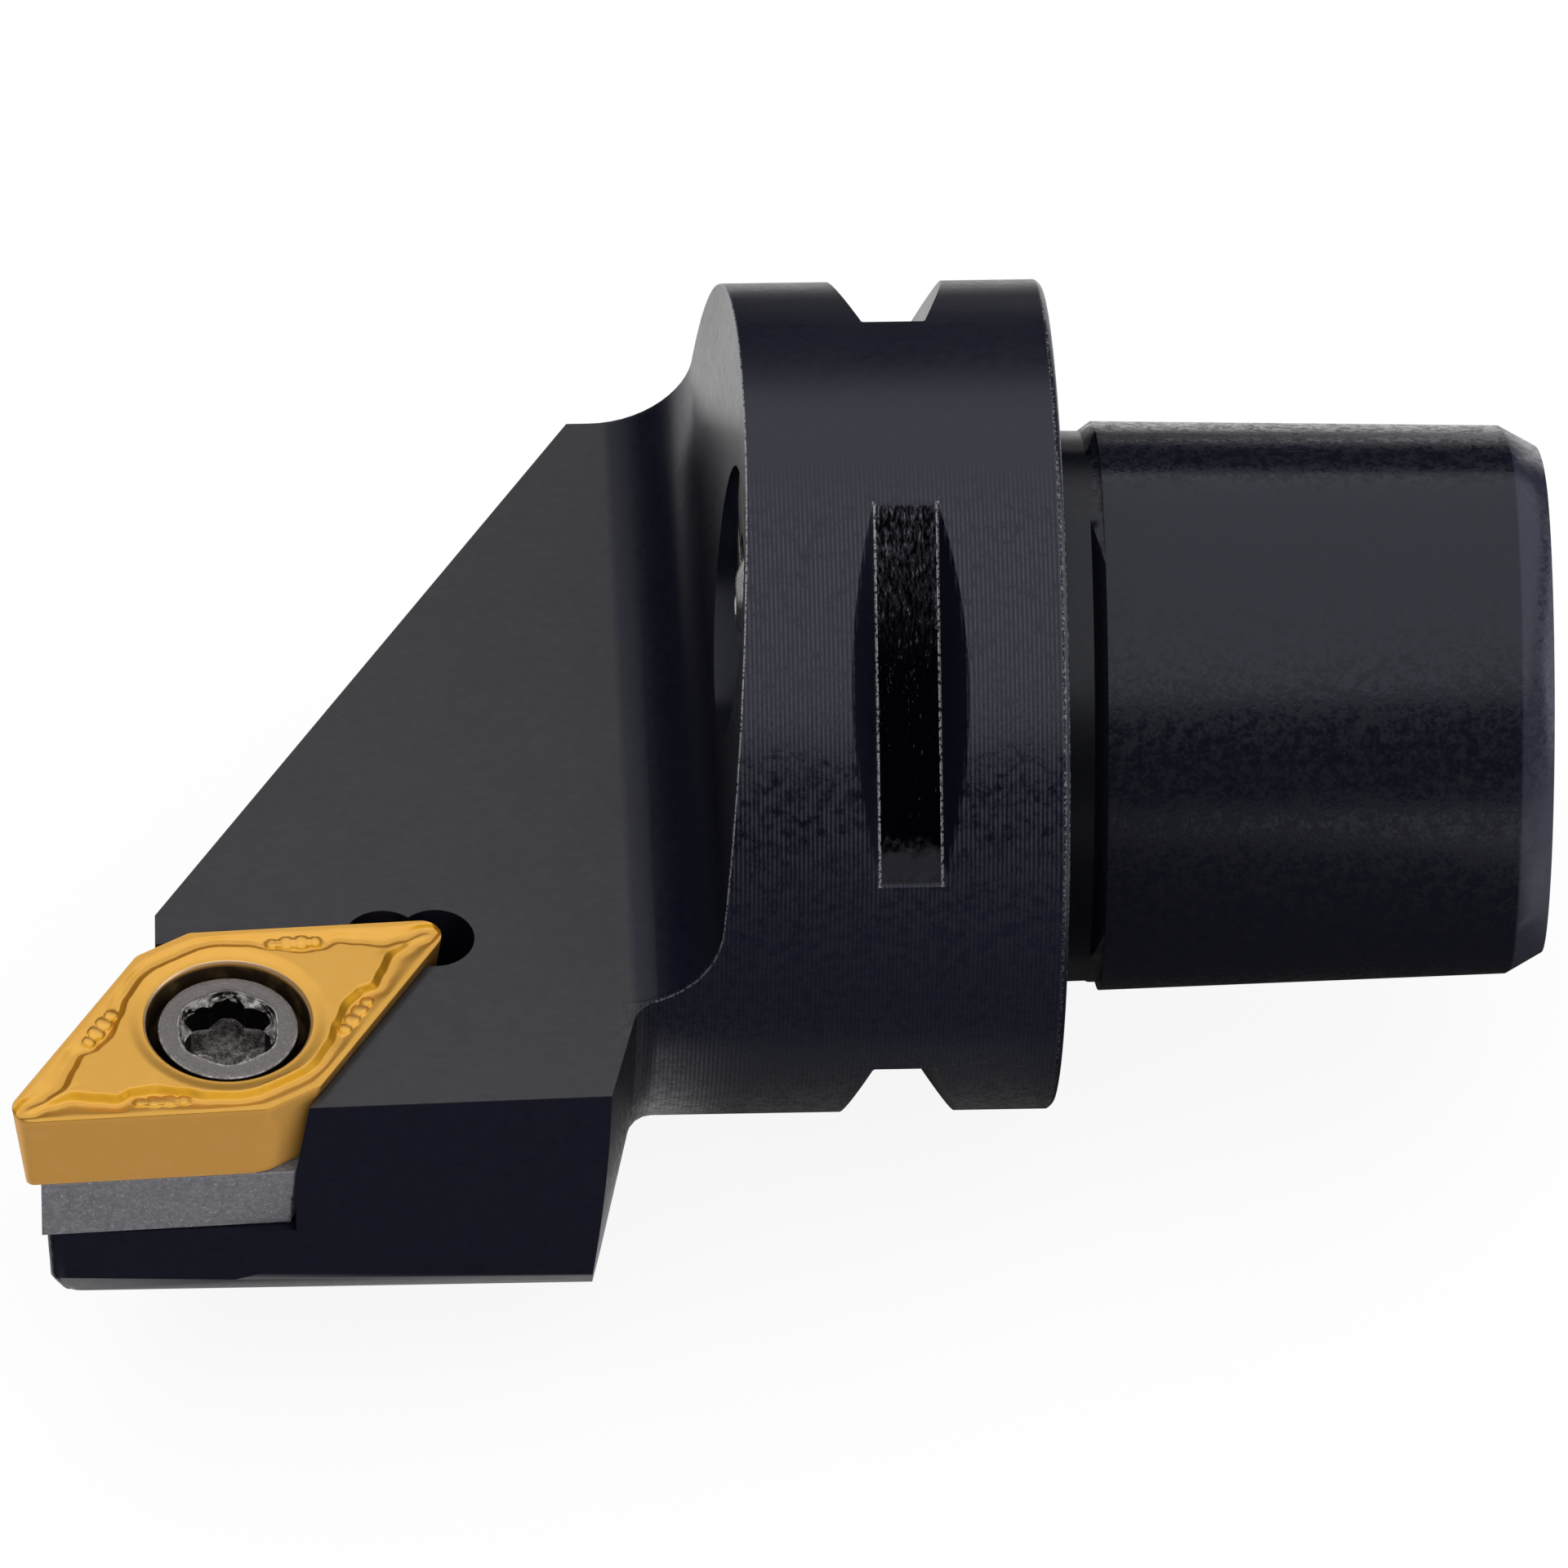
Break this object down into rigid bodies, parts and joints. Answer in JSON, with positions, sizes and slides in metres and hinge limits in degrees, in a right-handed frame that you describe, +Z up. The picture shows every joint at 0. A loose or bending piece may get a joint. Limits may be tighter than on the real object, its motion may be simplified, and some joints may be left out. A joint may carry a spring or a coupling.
{
  "type": "turning tool holder",
  "caption": "External turning tool holder: tapered polygon shank with a flange, a head that carries a screw-clamped rhombic insert on a shim, and a swivelling coolant nozzle.",
  "frame": {"origin": "where the tool axis meets the flange's contact face, the face that seats on the machine's clamping unit", "axes": "X is the tool axis, plus towards the shank end; Z is up, square to the rake face; Y completes the right-handed frame, so the cutting nose is at minus Y"},
  "size_m": [0.0589, 0.038, 0.032],
  "materials": {
    "holder_body": "hardened steel, black oxide, fine turning and milling marks",
    "insert": "cemented carbide, gold coloured coating",
    "insert_screw": "steel, grey phosphated",
    "shim": "cemented carbide, ground, bare",
    "shim_screw": "steel, black oxide",
    "nozzle_ring": "steel, turned, bare",
    "nozzle_ball": "stainless steel, fine turned",
    "nozzle_seal": "black nitrile rubber"
  },
  "bodies": {
    "holder": {"holder_body": "holder_body", "nozzle_ring": "nozzle_ring", "nozzle_seal": "nozzle_seal"},
    "shim": {"shim": "shim"},
    "shim_screw": {"shim_screw": "shim_screw"},
    "insert": {"insert": "insert"},
    "insert_screw": {"insert_screw": "insert_screw"},
    "nozzle_ball": {"nozzle_ball": "nozzle_ball"}
  },
  "joints": [
    {"name": "shim_lift", "type": "slide", "parent": "holder", "child": "shim", "axis": [0, 0, 1], "range_m": [0, 0.006]},
    {"name": "shim_screw_turn", "type": "hinge", "parent": "shim", "child": "shim_screw", "pos_m": [-0.03181, -0.01684, 0], "axis": [0, 0, 1], "range_deg": [0, 4320]},
    {"name": "insert_lift", "type": "slide", "parent": "shim", "child": "insert", "axis": [0, 0, 1], "range_m": [0, 0.0054]},
    {"name": "insert_screw_turn", "type": "hinge", "parent": "insert", "child": "insert_screw", "pos_m": [-0.03181, -0.01684, 0], "axis": [0, 0, 1], "range_deg": [0, 3240]},
    {"name": "nozzle_tilt", "type": "hinge", "parent": "holder", "child": "nozzle_ball", "pos_m": [-0.0094, -0.0042, 0.00945], "axis": [0, 0, 1], "range_deg": [-20, 20]}
  ],
  "couplings": [
    {"joint": "shim_screw_turn", "follows": "shim_lift", "rad_per_m": 12566},
    {"joint": "insert_screw_turn", "follows": "insert_lift", "rad_per_m": 10472}
  ]
}
